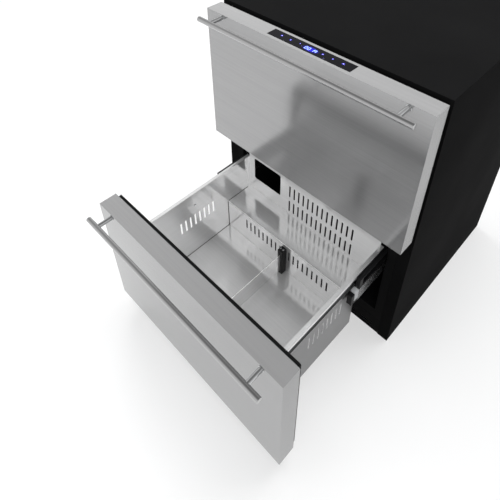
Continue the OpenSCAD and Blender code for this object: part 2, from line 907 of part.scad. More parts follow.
// The foam core of a drawer front
module front_core(d) {
    z = grown([front_z0[d], front_z1[d]], -skin_t);
    y0 = front_y0 + skin_t;
    color("#ddd5b0") difference() {
        translate([0, drawer_y[d], 0]) difference() {
            span(both(front_w / 2 - skin_t), [y0, front_y1 - panel_t], z);
            if (d == UPPER) span(both(glass_w / 2), [glass_y0, glass_y1],
                [front_z1[d] - housing_h, front_z1[d]]);
        }
        post_places(d) bar_along_y(0, moved([-over, screw_head_t + run_fit], y0), 0,
            screw_head_r + run_fit);
        tub_screw_places(d) bar_along_y(0, moved([-handle_screw_l, over], front_y1 - panel_t),
            0, screw_r + run_fit);
    }
}

// The inner panel that closes a drawer front
module front_panel(d) {
    z = grown([front_z0[d], front_z1[d]], -skin_t);
    color("#27282a") difference() {
        translate([0, drawer_y[d], 0])
            span(both(front_w / 2 - skin_t), [front_y1 - panel_t, front_y1], z);
        tub_screw_places(d) bar_along_y(0, moved([-panel_t - over, over], front_y1), 0,
            screw_r + run_fit);
    }
}

// The magnetic gasket around a drawer front
module gasket(d) {
    z = grown([front_z0[d], front_z1[d]], -gasket_inset);
    x = front_w / 2 - gasket_inset;
    y = moved([front_y1, -seam], drawer_y[d]);
    color("#111111") difference() {
        span(both(x), y, z);
        span(both(x - gasket_w), grown(y, over), grown(z, -gasket_w));
    }
}

module handle_bar(d) {
    color("#c4c6c8") bar_along_x(both(bar_l / 2), bar_y + drawer_y[d],
        front_z1[d] - handle_drop, bar_d / 2);
}

// The two standoffs, hollowed to fit the bar
module handle_posts(d) {
    color("#c4c6c8") difference() {
        post_places(d) bar_along_y(0, [bar_y, front_y0], 0, post_d / 2);
        post_places(d) bar_along_y(0, moved([-handle_screw_l - over, over], front_y0), 0,
            screw_r + run_fit);
        bar_along_x(both(bar_l / 2), bar_y + drawer_y[d], front_z1[d] - handle_drop,
            bar_d / 2 + saddle_fit);
    }
}

// Handle screws, tub screws and slide rivets of one drawer
module drawer_screws(d) {
    wall_y = front_y1 + tub_t;
    color("#dfe0e1") {
        post_places(d) {
            bar_along_y(0, moved([-handle_screw_l, skin_t], front_y0), 0, screw_r);
            bar_along_y(0, moved([0, screw_head_t], front_y0 + skin_t), 0, screw_head_r);
        }
        tub_screw_places(d) {
            bar_along_y(0, [front_y1 - panel_t - handle_screw_l, wall_y], 0, screw_r);
            bar_along_y(0, [wall_y, wall_y + screw_head_t], 0, screw_head_r);
        }
        sides() rivet_places(d) {
            bar_along_x([tub_x, member_x0 + rail_t], 0, 0, screw_r);
            bar_along_x([tub_x - rivet_head_t, tub_x], 0, 0, rivet_head_r);
        }
    }
}

// The folded tub: floor, front wall, side walls and rim
module tub(d) {
    x = tub_x + tub_t;
    z0 = floor_z[d] - tub_t;
    deep = d == LOWER ? step_y + tub_t : tub_y1;
    shelf = d == LOWER ? step_z - tub_t : z0;
    color("#b4b6b8") difference() {
        translate([0, drawer_y[d], 0]) {
            span(both(x), [tub_y0, deep], [z0, floor_z[d]]);
            span(both(x), [tub_y0, tub_y0 + tub_t], [z0, rim_z[d]]);
            sides() {
                span([tub_x, x], [tub_y0, deep], [z0, rim_z[d]]);
                span([tub_x, x], [tub_y0, tub_y1], [shelf, rim_z[d]]);
                span([tub_x, tub_x + rim_w], [tub_y0, tub_y1], [rim_z[d] - tub_t, rim_z[d]]);
            }
        }
        sides() for (i = [0:side_slot_n - 1])
            translate([tub_x + tub_t / 2, side_slot_y + i * slot_pitch + drawer_y[d],
                floor_z[d] + side_slot_share * (rim_z[d] - floor_z[d])])
                rotate([0, 0, 90]) slot(slot_l, slot_w, tub_t + 2 * over);
        tub_screw_places(d) bar_along_y(0, moved([-over, tub_t + over], tub_y0), 0,
            screw_r + run_fit);
        sides() rivet_places(d)
            bar_along_x([tub_x - over, x + over], 0, 0, screw_r + run_fit);
    }
}

// The slotted step over the machine bay, part of the lower drawer
module lower_step() {
    z0 = floor_z[LOWER];
    color("#b0b2b4") translate([0, drawer_y[LOWER], 0]) difference() {
        union() {
            span(both(tub_x), [step_y, step_y + tub_t], [z0, step_z]);
            span(both(tub_x), [step_y, tub_y1], [step_z - tub_t, step_z]);
        }
        for (i = [0:step_cols - 1])
            translate([(i - (step_cols - 1) / 2) * slot_pitch, step_y + tub_t / 2,
                z0 + step_slot_share * (step_z - z0)])
                slot(step_slot_l, slot_w, tub_t + 2 * over);
    }
}

// The rear panel with two rows of slots, a square port and side flanges
module rear_panel(d) {
    low = d == LOWER ? step_z : floor_z[d];
    high = wall_z[d];
    rows = [for (i = [0, 1]) let (z = rim_z[d] - row_drop - i * (slot_l + row_gap))
        if (z - slot_l / 2 - tub_t > low) z];
    color("#b2b4b6") translate([0, drawer_y[d], 0]) difference() {
        union() {
            span(both(tub_x), [tub_y1 - tub_t, tub_y1], [low, high]);
            sides() span([tub_x - tub_t, tub_x], [tub_y1 - rear_flange, tub_y1],
                [low, rim_z[d]]);
        }
        for (i = [0:rear_cols - 1], row = rows)
            translate([rear_slot_x + i * slot_pitch, tub_y1 - tub_t / 2, row])
                slot(slot_l, slot_w, tub_t + 2 * over);
        port(port_x, [for (k = port_drop_shares) high - k * (wall_z[LOWER] - step_z)]);
    }
}

// The square port with round corners, cut through the rear panel
module port(x, z) {
    y = [tub_y1 - tub_t - over, tub_y1 + over];
    span(x, y, grown(z, -port_r));
    span(grown(x, -port_r), y, z);
    for (i = grown(x, -port_r), k = grown(z, -port_r)) bar_along_y(i, y, k, port_r);
}

module control_glass() {
    color("#08080a") span(both(glass_w / 2), [glass_y0, glass_y1],
        [front_z1[UPPER] - glass_t, front_z1[UPPER]]);
}

// The plastic tray that carries the glass
module control_housing() {
    x = both(glass_w / 2);
    y = [glass_y0, glass_y1];
    z = [front_z1[UPPER] - housing_h, front_z1[UPPER] - glass_t];
    color("#1b1b1d") difference() {
        span(x, y, z);
        span(grown(x, -housing_wall), grown(y, -housing_wall),
            [z[0] + housing_wall, z[1] + over]);
    }
}

module divider_plate() {
    color("#c6c8ca") span(both(plate_t / 2), plate_y, [plate_z, plate_z + plate_h]);
}

// The ribbed black clips at both ends of the divider
module divider_clips() {
    z = moved([0, clip_h], floor_z[LOWER] + slack);
    step = clip_l / clip_ribs;
    color("#151516") difference() {
        for (y0 = [divider_y0, divider_y1 - clip_l]) {
            span(both(clip_w / 2 - rib_h), [y0, y0 + clip_l], z);
            for (i = [0:clip_ribs - 1])
                span(both(clip_w / 2), moved([0, rib_w], y0 + i * step + (step - rib_w) / 2), z);
        }
        span(both(plate_t / 2), plate_y, [plate_z, plate_z + plate_h]);
    }
}

// Moves a piece from the frame's face to the model's origin
module placed() {
    translate([0, origin_y, 0]) children();
}

placed() cabinet_shell();
placed() front_frame();
placed() mullion_bar();
placed() kick_grille();
placed() inner_liner();
placed() foam_insulation();
placed() machine_bay_panel();
placed() base_pan();
placed() back_panel();
placed() rear_grille();
placed() compressor();
placed() compressor_grommets();
placed() condenser();
placed() condenser_fan_shroud();
placed() condenser_fan_motor();
placed() condenser_fan();
placed() evaporator();
placed() evaporator_cover();
placed() evaporator_fan_motor();
placed() evaporator_fan();
placed() control_box();
placed() power_gland();
placed() refrigerant_lines();
placed() cabinet_rails();
placed() cabinet_screws();
placed() foot(false, false);  // foot_front_left
placed() foot(true, false);  // foot_front_right
placed() foot(false, true);  // foot_rear_left
placed() foot(true, true);  // foot_rear_right
placed() front_skin(UPPER);  // upper_front_skin
placed() front_core(UPPER);  // upper_front_core
placed() front_panel(UPPER);  // upper_front_panel
placed() gasket(UPPER);  // upper_gasket
placed() handle_bar(UPPER);  // upper_handle_bar
placed() handle_posts(UPPER);  // upper_handle_posts
placed() tub(UPPER);  // upper_tub
placed() rear_panel(UPPER);  // upper_rear_panel
placed() slide_members(UPPER);  // upper_slide_members
placed() drawer_screws(UPPER);  // upper_screws
placed() control_glass();
placed() control_housing();
placed() slide_middles(UPPER);  // upper_slide_middles
placed() end_blocks(UPPER);  // upper_end_blocks
placed() end_caps(UPPER);  // upper_end_caps
placed() front_skin(LOWER);  // lower_front_skin
placed() front_core(LOWER);  // lower_front_core
placed() front_panel(LOWER);  // lower_front_panel
placed() gasket(LOWER);  // lower_gasket
placed() handle_bar(LOWER);  // lower_handle_bar
placed() handle_posts(LOWER);  // lower_handle_posts
placed() tub(LOWER);  // lower_tub
placed() lower_step();
placed() rear_panel(LOWER);  // lower_rear_panel
placed() slide_members(LOWER);  // lower_slide_members
placed() drawer_screws(LOWER);  // lower_screws
placed() slide_middles(LOWER);  // lower_slide_middles
placed() end_blocks(LOWER);  // lower_end_blocks
placed() end_caps(LOWER);  // lower_end_caps
placed() divider_plate();
placed() divider_clips();
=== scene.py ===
# Looks of the undercounter refrigerator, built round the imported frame.
# Lengths are in millimetres unless a comment says otherwise, with Y counted from the
# face of the front frame as in the part's source; point() turns them into the frame's metres.
import json
import math

import bmesh
import bpy
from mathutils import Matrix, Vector

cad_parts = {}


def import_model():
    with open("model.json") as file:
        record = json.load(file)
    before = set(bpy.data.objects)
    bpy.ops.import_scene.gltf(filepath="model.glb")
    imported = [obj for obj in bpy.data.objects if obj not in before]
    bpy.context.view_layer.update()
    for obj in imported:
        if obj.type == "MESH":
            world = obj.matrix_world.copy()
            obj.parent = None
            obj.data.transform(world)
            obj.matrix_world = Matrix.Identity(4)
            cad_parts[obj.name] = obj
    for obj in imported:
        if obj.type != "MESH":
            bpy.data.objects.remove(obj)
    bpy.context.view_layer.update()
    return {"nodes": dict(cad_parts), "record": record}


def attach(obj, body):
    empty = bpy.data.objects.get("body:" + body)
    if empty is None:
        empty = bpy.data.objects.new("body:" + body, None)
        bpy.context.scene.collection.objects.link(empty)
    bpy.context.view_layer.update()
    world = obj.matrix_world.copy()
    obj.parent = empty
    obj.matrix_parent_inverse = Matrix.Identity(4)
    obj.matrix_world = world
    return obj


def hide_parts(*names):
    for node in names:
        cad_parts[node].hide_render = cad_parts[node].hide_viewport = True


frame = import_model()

NODES = frame["nodes"]
RECORD = frame["record"]
BODY_OF = {n: b for b, names in RECORD["behaviour"]["bodies"].items() for n in names}
SLOT_OF = {s["node"]: s["material_slot"] for s in RECORD["subparts"]}
MOUNTS = {m["name"]: m["pos_m"] for m in RECORD["mounts"]}
MM = 0.001
FACE_Y = round(min(v.co.y for v in NODES["front_frame"].data.vertices) / MM, 3)


def point(x, y, z):
    """A point given in millimetres, in the frame's metres."""
    return Vector((x * MM, (y + FACE_Y) * MM, z * MM))


def span(node, axis):
    """Where a CAD node begins and ends along an axis, at rest."""
    start = FACE_Y if axis == "Y" else 0
    at = [v.co["XYZ".index(axis)] / MM - start for v in NODES[node].data.vertices]
    return round(min(at), 3), round(max(at), 3)


def mount(name):
    """The place of one of the record's mounts."""
    x, y, z = (round(v / MM, 3) for v in MOUNTS[name])
    return x, y - FACE_Y, z


def circle(n):
    """n angles round a full turn."""
    return [2 * math.pi * i / n for i in range(n)]


# Sizes from the frame

CAB_X, CAB_Y, CAB_Z = (span("cabinet_shell", axis)[1] for axis in "XYZ")

DRAWERS = ("lower", "upper")
SHEET = 1.2  # steel of the tubs
GASKET_D = 10  # room for the gasket behind a closed front
TOP = {d: span(d + "_front_skin", "Z")[1] for d in DRAWERS}
FLOOR = {d: span(d + "_tub", "Z")[0] + SHEET for d in DRAWERS}
RIM = {d: span(d + "_tub", "Z")[1] for d in DRAWERS}
# how far each drawer lies from where it is closed, along Y
SHIFT = {d: span(d + "_front_skin", "Y")[1] + GASKET_D for d in DRAWERS}

# inside of a tub and the lower tub's step, with the drawer closed
TUB_X = span("upper_rear_panel", "X")[1]
TUB_Y = span("upper_tub", "Y")[0] + SHEET
REAR_Y = span("upper_tub", "Y")[1] - SHEET
STEP_Y = span("lower_step", "Y")[0] - SHIFT["lower"]
STEP_Z = span("lower_step", "Z")[1]

# handles, whose axis lies HANDLE_DROP below the top of a front
FRONT_Y = span("upper_front_skin", "Y")[0]
BAR_X = span("upper_handle_bar", "X")[1]
BAR_Y = sum(span("upper_handle_bar", "Y")) / 2
BAR_Z0, BAR_Z1 = span("upper_handle_bar", "Z")
BAR_R = (BAR_Z1 - BAR_Z0) / 2
HANDLE_DROP = TOP["upper"] - (BAR_Z0 + BAR_Z1) / 2
POST_R = 5.25
POST_X = span("upper_handle_posts", "X")[1] - POST_R

GLASS_Z = span("control_glass", "Z")[1]

# Camera

CAM_AT = (544.1, -726.1, 1323.1)
CAM_YAW, CAM_PITCH = 44.30, 36.42  # in degrees
SENSOR = 36
# the picture's width, focal length and optical centre, in its pixels
PICTURE = 500
CAM_F = 494.6
CAM_CX, CAM_CY = 263.6, 100.0

cam_data = bpy.data.cameras.new("camera")
cam = bpy.data.objects.new("camera", cam_data)
bpy.context.collection.objects.link(cam)
cam.location = point(*CAM_AT)
cam.rotation_euler = (math.radians(90 - CAM_PITCH), 0, math.radians(CAM_YAW))
cam_data.sensor_width = SENSOR
cam_data.lens = CAM_F * SENSOR / PICTURE
cam_data.shift_x = -(CAM_CX - PICTURE / 2) / PICTURE
cam_data.shift_y = (CAM_CY - PICTURE / 2) / PICTURE
cam_data.clip_start = 0.02
cam_data.clip_end = 60
bpy.context.scene.camera = cam

# Materials


class Nodes:
    """A short way to lay out a material's nodes; its lengths are in metres."""

    def __init__(self, name):
        self.mat = bpy.data.materials.new(name)
        self.mat.use_nodes = True
        self.tree = self.mat.node_tree
        self.tree.nodes.clear()
        self.out = self.new("ShaderNodeOutputMaterial")

    def new(self, kind):
        """A new node of a kind."""
        return self.tree.nodes.new(kind)

    def link(self, a, b):
        """Joins an output to an input."""
        self.tree.links.new(a, b)

    def coords(self, scale=(1, 1, 1)):
        """The object's own coordinates, scaled along each axis."""
        c = self.new("ShaderNodeTexCoord")
        m = self.new("ShaderNodeMapping")
        m.inputs["Scale"].default_value = scale
        self.link(c.outputs["Object"], m.inputs["Vector"])
        return m.outputs["Vector"]

    def noise(self, scale, detail, rough, stretch=(1, 1, 1)):
        """Noise of scale features per metre, times the stretch along each axis."""
        n = self.new("ShaderNodeTexNoise")
        n.inputs["Scale"].default_value = scale
        n.inputs["Detail"].default_value = detail
        n.inputs["Roughness"].default_value = rough
        self.link(self.coords(stretch), n.inputs["Vector"])
        return n.outputs["Fac"]

    def ramp(self, fac, a, b, p0=0.3, p1=0.7):
        """Colour a where fac is p0 or less, b where it is p1 or more, a blend between."""
        r = self.new("ShaderNodeValToRGB")
        r.color_ramp.elements[0].position = p0
        r.color_ramp.elements[1].position = p1
        r.color_ramp.elements[0].color = tuple(a) + (1,)
        r.color_ramp.elements[1].color = tuple(b) + (1,)
        self.link(fac, r.inputs["Fac"])
        return r.outputs["Color"]

    def range(self, fac, lo, hi, a=0.3, b=0.7):
        """Turns values from a to b into values from lo to hi."""
        r = self.new("ShaderNodeMapRange")
        for k, v in (("From Min", a), ("From Max", b), ("To Min", lo), ("To Max", hi)):
            r.inputs[k].default_value = v
        self.link(fac, r.inputs["Value"])
        return r.outputs["Result"]

    def maths(self, op, a, b):
        """The result of one sum on numbers or outputs."""
        m = self.new("ShaderNodeMath")
        m.operation = op
        for i, v in enumerate((a, b)):
            if isinstance(v, (int, float)):
                m.inputs[i].default_value = v
            else:
                self.link(v, m.inputs[i])
        return m.outputs[0]

    def bump(self, height, strength, distance):
        """A normal that follows a height."""
        b = self.new("ShaderNodeBump")
        b.inputs["Strength"].default_value = strength
        b.inputs["Distance"].default_value = distance
        self.link(height, b.inputs["Height"])
        return b.outputs["Normal"]

    def shader(self, colour, rough, normal=None, metallic=0.0, **values):
        """The surface; values are other inputs, by name with _ for a space."""
        s = self.new("ShaderNodeBsdfPrincipled")
        s.inputs["Metallic"].default_value = metallic
        for k, v in values.items():
            s.inputs[k.replace("_", " ")].default_value = v
        self.link(colour, s.inputs["Base Color"])
        if isinstance(rough, (int, float)):
            s.inputs["Roughness"].default_value = rough
        else:
            self.link(rough, s.inputs["Roughness"])
        if normal is not None:
            self.link(normal, s.inputs["Normal"])
        self.link(s.outputs[0], self.out.inputs["Surface"])
        return s


AXES = {"X": (1, 0, 0), "Y": (0, 1, 0), "Z": (0, 0, 1)}


def across(along, wide, long):
    """Noise scales, in features per metre, across and along the grain."""
    return [wide * (1 - a) + long * a for a in along]


def brushed(name, axis, base, rough, spread=0.05, aniso=0.4, metallic=1.0):
    """Brushed stainless steel: long fine lines along one axis, faint bands and smudges."""
    m = Nodes(name)
    along = Vector(AXES[axis])
    grain = m.noise(1.0, 3.0, 0.6, across(along, 1500.0, 6.0))
    bands = m.noise(1.0, 2.0, 0.5, across(along, 210.0, 1.6))
    cloud = m.noise(5.0, 3.0, 0.5)
    mix = m.maths("ADD", m.maths("MULTIPLY", grain, 0.7), m.maths("MULTIPLY", bands, 0.3))
    low = [c * (1 - spread) for c in base]
    high = [min(1.0, c * (1 + spread * 0.7)) for c in base]
    colour = m.ramp(mix, low, high, 0.32, 0.68)
    r = m.maths("ADD", m.range(mix, rough * 0.92, rough * 1.08), m.range(cloud, -0.015, 0.015))
    s = m.shader(colour, r, m.bump(grain, 0.06, 0.00004), metallic, Anisotropic=aniso,
                 Anisotropic_Rotation=0.25)
    t = m.new("ShaderNodeCombineXYZ")
    for i, k in enumerate("XYZ"):
        t.inputs[k].default_value = along[i]
    m.link(t.outputs[0], s.inputs["Tangent"])
    return m.mat


def painted(name, base, rough, level):
    """Powder coat or paint: orange-peel grain and a little dust."""
    speck, dust = 0.12, 0.002
    m = Nodes(name)
    peel = m.noise(900.0, 2.0, 0.5)
    cloud = m.noise(4.0, 4.0, 0.55)
    low = [c * (1 - speck) for c in base]
    high = [c * (1 + speck) + dust for c in base]
    colour = m.ramp(m.maths("ADD", m.maths("MULTIPLY", peel, 0.5), m.maths("MULTIPLY", cloud, 0.5)),
                    low, high, 0.35, 0.65)
    r = m.range(cloud, rough * 0.9, rough * 1.1)
    m.shader(colour, r, m.bump(peel, 0.25, 0.00006), Specular_IOR_Level=level)
    return m.mat


def moulded(name, base, rough, size=1400.0, bump=0.2, level=0.4):
    """Moulded plastic or rubber with a fine spark-eroded texture."""
    m = Nodes(name)
    fine = m.noise(size, 3.0, 0.6)
    cloud = m.noise(14.0, 3.0, 0.5)
    colour = m.ramp(cloud, [c * 0.9 for c in base], [c * 1.1 for c in base])
    r = m.range(fine, rough * 0.88, rough * 1.12)
    m.shader(colour, r, m.bump(fine, bump, 0.00005), Specular_IOR_Level=level)
    return m.mat


def galvanised(name, base, rough, spangle=70.0):
    """Zinc-coated sheet: faint crystals over rolled steel."""
    m = Nodes(name)
    v = m.new("ShaderNodeTexVoronoi")
    v.inputs["Scale"].default_value = spangle
    m.link(m.coords(), v.inputs["Vector"])
    cloud = m.noise(220.0, 3.0, 0.5)
    fac = m.maths("ADD", m.maths("MULTIPLY", v.outputs["Color"], 0.6),
                  m.maths("MULTIPLY", cloud, 0.4))
    colour = m.ramp(fac, [c * 0.88 for c in base], [min(1, c * 1.08) for c in base], 0.2, 0.8)
    m.shader(colour, m.range(fac, rough * 0.8, rough * 1.2), m.bump(cloud, 0.1, 0.00003), 0.9)
    return m.mat


def polished(name, base, rough):
    """Bright turned or plated metal with faint scratches."""
    m = Nodes(name)
    fine = m.noise(1800.0, 3.0, 0.6)
    cloud = m.noise(60.0, 2.0, 0.5)
    colour = m.ramp(cloud, [c * 0.94 for c in base], [min(1, c * 1.04) for c in base])
    r = m.range(fine, rough * 0.8, rough * 1.25)
    m.shader(colour, r, m.bump(fine, 0.05, 0.000004), 1.0)
    return m.mat


def foam(name):
    """Pale rigid foam with open cells."""
    m = Nodes(name)
    cells = m.new("ShaderNodeTexVoronoi")
    cells.inputs["Scale"].default_value = 420.0
    m.link(m.coords(), cells.inputs["Vector"])
    cloud = m.noise(9.0, 4.0, 0.6)
    colour = m.ramp(cloud, (0.62, 0.53, 0.34), (0.78, 0.7, 0.5))
    m.shader(colour, 0.9, m.bump(cells.outputs["Distance"], 0.5, 0.0008), Specular_IOR_Level=0.1)
    return m.mat


# black glass: its two shades, and how strongly it mirrors
GLASS = ((0.004, 0.004, 0.005), (0.007, 0.007, 0.009))
GLASS_LEVEL = 0.06


def glass_black(name):
    """Black glass with a faint waviness."""
    m = Nodes(name)
    cloud = m.noise(8.0, 3.0, 0.5)
    wave = m.bump(m.noise(900.0, 2.0, 0.5), 0.01, 0.00001)
    m.shader(m.ramp(cloud, *GLASS), m.range(cloud, 0.1, 0.14), wave, Specular_IOR_Level=GLASS_LEVEL)
    return m.mat


def glow(name, colour, strength):
    """A lit symbol, a little uneven."""
    m = Nodes(name)
    cloud = m.noise(700.0, 2.0, 0.5)
    c = m.ramp(cloud, [v * 0.85 for v in colour], [min(1, v * 1.1) for v in colour])
    s = m.shader(c, 0.4, Emission_Strength=strength)
    m.link(c, s.inputs["Emission Color"])
    return m.mat


def halo(name):
    """The glass round a lit symbol, where its blue light spreads and fades."""
    m = Nodes(name)
    near = m.new("ShaderNodeAttribute")
    near.attribute_name = "glow"
    soft = m.maths("MULTIPLY", m.maths("POWER", near.outputs["Fac"], 1.6),
                   m.range(m.noise(500.0, 2.0, 0.5), 0.85, 1.1))
    s = m.shader(m.ramp(m.noise(8.0, 3.0, 0.5), *GLASS), 0.12, Specular_IOR_Level=GLASS_LEVEL,
                 Emission_Strength=1.0)
    m.link(m.ramp(soft, (0, 0, 0), (0.03, 0.03, 1.0), 0.0, 1.0), s.inputs["Emission Color"])
    return m.mat


LOOK = {
    "front_steel": brushed("front_steel", "X", (0.42, 0.42, 0.422), 0.15, 0.1, 0.3, metallic=0.62),
    # the sides of a front: the same steel as its face made darker, a painted shade
    "front_steel_side_painted_shade": brushed("front_steel_side_painted_shade", "Z", (0.26, 0.26, 0.262), 0.24, metallic=0.84),
    # near-white steel laid on edges so that they look lit: a painted highlight
    "painted_highlight_edge": brushed("painted_highlight_edge", "X", (0.95, 0.95, 0.95), 0.3, 0.06, 0.3, metallic=0.3),
    "tub_x": brushed("tub_steel_x", "X", (0.95, 0.95, 0.952), 0.12, 0.08, 0.3, metallic=0.64),
    "tub_y": brushed("tub_steel_y", "Y", (0.95, 0.95, 0.952), 0.12, 0.08, 0.3, metallic=0.64),
    # the outside of the tub walls: the tub's steel made dark, a painted shade
    "tub_outer_painted_shade": brushed("tub_outer_painted_shade", "Y", (0.18, 0.18, 0.182), 0.3, metallic=0.8),
    "handle_steel": brushed("handle_steel", "X", (0.44, 0.44, 0.442), 0.2, aniso=0.3),
    "post_steel": polished("post_steel", (0.5, 0.505, 0.51), 0.14),
    "cabinet_paint": painted("cabinet_paint", (0.0072, 0.0072, 0.0074), 0.6, level=0.004),
    "frame_paint": painted("frame_paint", (0.0078, 0.0078, 0.008), 0.6, level=0.008),
    "liner": moulded("liner", (0.009, 0.009, 0.0095), 0.5, level=0.1),
    "foam": foam("foam"),
    "zinc": galvanised("zinc", (0.42, 0.43, 0.445), 0.4),
    "slide_zinc": polished("slide_zinc", (0.42, 0.425, 0.43), 0.24),
    "slide_dark": polished("slide_dark", (0.36, 0.362, 0.366), 0.3),
    "slide_black": painted("slide_black", (0.012, 0.012, 0.013), 0.35, level=0.3),
    "black_plastic": moulded("black_plastic", (0.01, 0.01, 0.0105), 0.5, level=0.2),
    "compressor_black": painted("compressor_black", (0.014, 0.014, 0.015), 0.3, level=0.4),
    "rubber": moulded("rubber", (0.008, 0.008, 0.0085), 0.6, 2200.0, 0.3, 0.15),
    "fins": galvanised("fins", (0.62, 0.63, 0.65), 0.3, 300.0),
    "copper": polished("copper", (0.72, 0.4, 0.24), 0.28),
    "pale_plastic": moulded("pale_plastic", (0.62, 0.63, 0.64), 0.5),
    "inner_panel": brushed("inner_panel", "X", (0.8, 0.8, 0.802), 0.3, metallic=0.5),
    "screws": polished("screws", (0.75, 0.76, 0.77), 0.16),
    "glass": glass_black("glass"),
    "icons": glow("icons", (0.3, 0.28, 1.0), 2.4),
    "digits": glow("digits", (0.22, 0.3, 1.0), 2.6),
    "halo": halo("halo"),
}

# Mesh tools

SHARP = 50  # least angle, in degrees, of an edge that is rounded
ALONG = 0.7  # a face looks along an axis where its normal's share of it is over this
LEAST_R = 0.01  # radius of a turned solid where its outline meets the axis
HEAD_R, HEAD_H = 4.0, 2.2  # pan head of a screw
SHANK_R = 2


def finish_mesh(bm, name, mats, body, slot, angle=32, weighted=True):
    """Cleans and shades the mesh, makes the object and lets it ride on its body."""
    bmesh.ops.dissolve_degenerate(bm, dist=2e-7, edges=bm.edges)
    bmesh.ops.recalc_face_normals(bm, faces=bm.faces)
    for f in bm.faces:
        f.smooth = True
    for e in bm.edges:
        e.smooth = len(e.link_faces) == 2 and e.calc_face_angle(0.0) < math.radians(angle)
    me = bpy.data.meshes.new(name)
    bm.to_mesh(me)
    bm.free()
    for m in mats if isinstance(mats, (list, tuple)) else [mats]:
        me.materials.append(m)
    ob = bpy.data.objects.new(name, me)
    bpy.context.collection.objects.link(ob)
    if weighted:
        w = ob.modifiers.new("weighted_normals", "WEIGHTED_NORMAL")
        w.keep_sharp = True
    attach(ob, body)
    return ob


def round_edges(bm, edges, width, segments):
    """Bevels edges to a round of the given width."""
    bmesh.ops.bevel(bm, geom=edges, offset=width * MM, offset_type="OFFSET", segments=segments,
                    profile=0.5, affect="EDGES", clamp_overlap=True)


def rounded_copy(node, width, segments=2, keep=None):
    """A copy of a CAD node with its sharp edges rounded, or those of them that keep() picks."""
    bm = bmesh.new()
    bm.from_mesh(NODES[node].data)
    bmesh.ops.remove_doubles(bm, verts=bm.verts, dist=3e-6)
    bmesh.ops.dissolve_limit(bm, angle_limit=math.radians(0.8), verts=bm.verts, edges=bm.edges)
    edges = [e for e in bm.edges
             if len(e.link_faces) == 2 and e.calc_face_angle(0.0) > math.radians(SHARP)]
    if keep:
        edges = [e for e in edges if keep(e)]
    round_edges(bm, edges, width, segments)
    return bm


def dressed(node, width, mats, segments=2, pick=None, keep=None):
    """A rounded copy of a CAD node, which stands for the node; pick() gives a face's material."""
    bm = rounded_copy(node, width, segments, keep)
    if pick:
        bm.normal_update()
        for f in bm.faces:
            f.material_index = pick(f)
    ob = finish_mesh(bm, "looks_" + node, mats, BODY_OF[node], SLOT_OF[node])
    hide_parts(node)


def box_into(bm, x, y, z, bevel, segments=2):
    """A box between two corners, with rounded edges."""
    c = [bm.verts.new(point(x[i], y[j], z[k])) for i in (0, 1) for j in (0, 1) for k in (0, 1)]
    faces = [(0, 1, 3, 2), (4, 6, 7, 5), (0, 4, 5, 1), (2, 3, 7, 6), (0, 2, 6, 4), (1, 5, 7, 3)]
    fs = [bm.faces.new([c[i] for i in f]) for f in faces]
    round_edges(bm, list({e for f in fs for e in f.edges}), bevel, segments)


def rings_into(bm, rings, closed=False):
    """Joins rings of points, each with as many points, by faces."""
    rows = [[bm.verts.new(p) for p in ring] for ring in rings]
    pairs = list(zip(rows, rows[1:])) + ([(rows[-1], rows[0])] if closed else [])
    for a, b in pairs:
        for i in range(len(a)):
            j = (i + 1) % len(a)
            bm.faces.new((a[i], a[j], b[j], b[i]))
    if not closed:
        bm.faces.new(rows[0])
        bm.faces.new(list(reversed(rows[-1])))


def square_to(axis):
    """An axis as a vector, and two directions square to it and to each other."""
    d = Vector(AXES[axis])
    u = Vector((0, 0, 1)) if axis != "Z" else Vector((1, 0, 0))
    return d, u, d.cross(u)


def turned_into(bm, centre, axis, outline, steps):
    """A solid of revolution: the outline is (radius, place along the axis) from the centre."""
    d, u, v = square_to(axis)
    rings = []
    for r, t in outline:
        c = Vector(centre) + d * t
        rings.append([point(*(c + (u * math.cos(a) + v * math.sin(a)) * max(r, LEAST_R)))
                      for a in circle(steps)])
    rings_into(bm, rings)


def rounded_rect(x0, x1, z0, z1, r, steps=6):
    """The outline of a rectangle with rounded corners."""
    pts = []
    for cx, cz, start in ((x1 - r, z1 - r, 0), (x0 + r, z1 - r, 90),
                          (x0 + r, z0 + r, 180), (x1 - r, z0 + r, 270)):
        for i in range(steps + 1):
            a = math.radians(start + 90 * i / steps)
            pts.append((cx + r * math.cos(a), cz + r * math.sin(a)))
    return pts


def shank_into(bm, start, axis, length):
    """The plain shank of a screw or rivet."""
    turned_into(bm, start, axis, [(0, 0), (SHANK_R, 0), (SHANK_R, length), (0, length)], 24)


def head_into(bm, seat, axis, r=HEAD_R, height=HEAD_H):
    """A pan head with a cross recess, which faces along the axis from the middle of its seat."""
    turned_into(bm, seat, axis, [(r, 0), (r, height * 0.25), (r * 0.93, height * 0.62),
                                 (r * 0.7, height * 0.9), (r * 0.42, height), (0, height)], 28)
    d, u, v = square_to(axis)
    c = Vector(seat) + d * height
    for w, t in ((u, v), (v, u)):
        a, b = w * r * 0.5, t * r * 0.11
        corners = (a + b, b - a, -a - b, a - b)
        rings_into(bm, [[point(*(c + q)) for q in corners],
                        [point(*(c + q * 0.8 + d * 0.03)) for q in corners]])


def fold_into(bm, p0, p1, n1, n2, r=1.2, steps=5):
    """A concave fillet along the inner corner p0-p1 of two faces with normals n1 and n2."""
    n1, n2 = Vector(n1), Vector(n2)
    rings = []
    for p in (Vector(p0), Vector(p1)):
        ring = []
        for i in range(steps + 1):
            a = math.radians(90 * i / steps)
            ring.append(p + n1 * (r - r * math.sin(a)) + n2 * (r - r * math.cos(a)))
        ring.append(p - (n1 + n2) * 0.02)
        rings.append([point(*q) for q in ring])
    rings_into(bm, rings)


def top_edge(f):
    """Second material, a painted highlight, for the top face and the rounded top edges of a thin plate.
    """
    return 1 if f.normal.z > 0.3 else 0


def side_face(f):
    """Second material for faces that look along X, first for the rest."""
    return 1 if abs(f.normal.x) > ALONG else 0


def step_face(f):
    """Second material for the sides, third, a painted highlight, for the rounded front edge of the
    step's top.
    """
    if side_face(f):
        return 1
    return 2 if f.normal.z > 0.2 and f.normal.y < -0.2 else 0


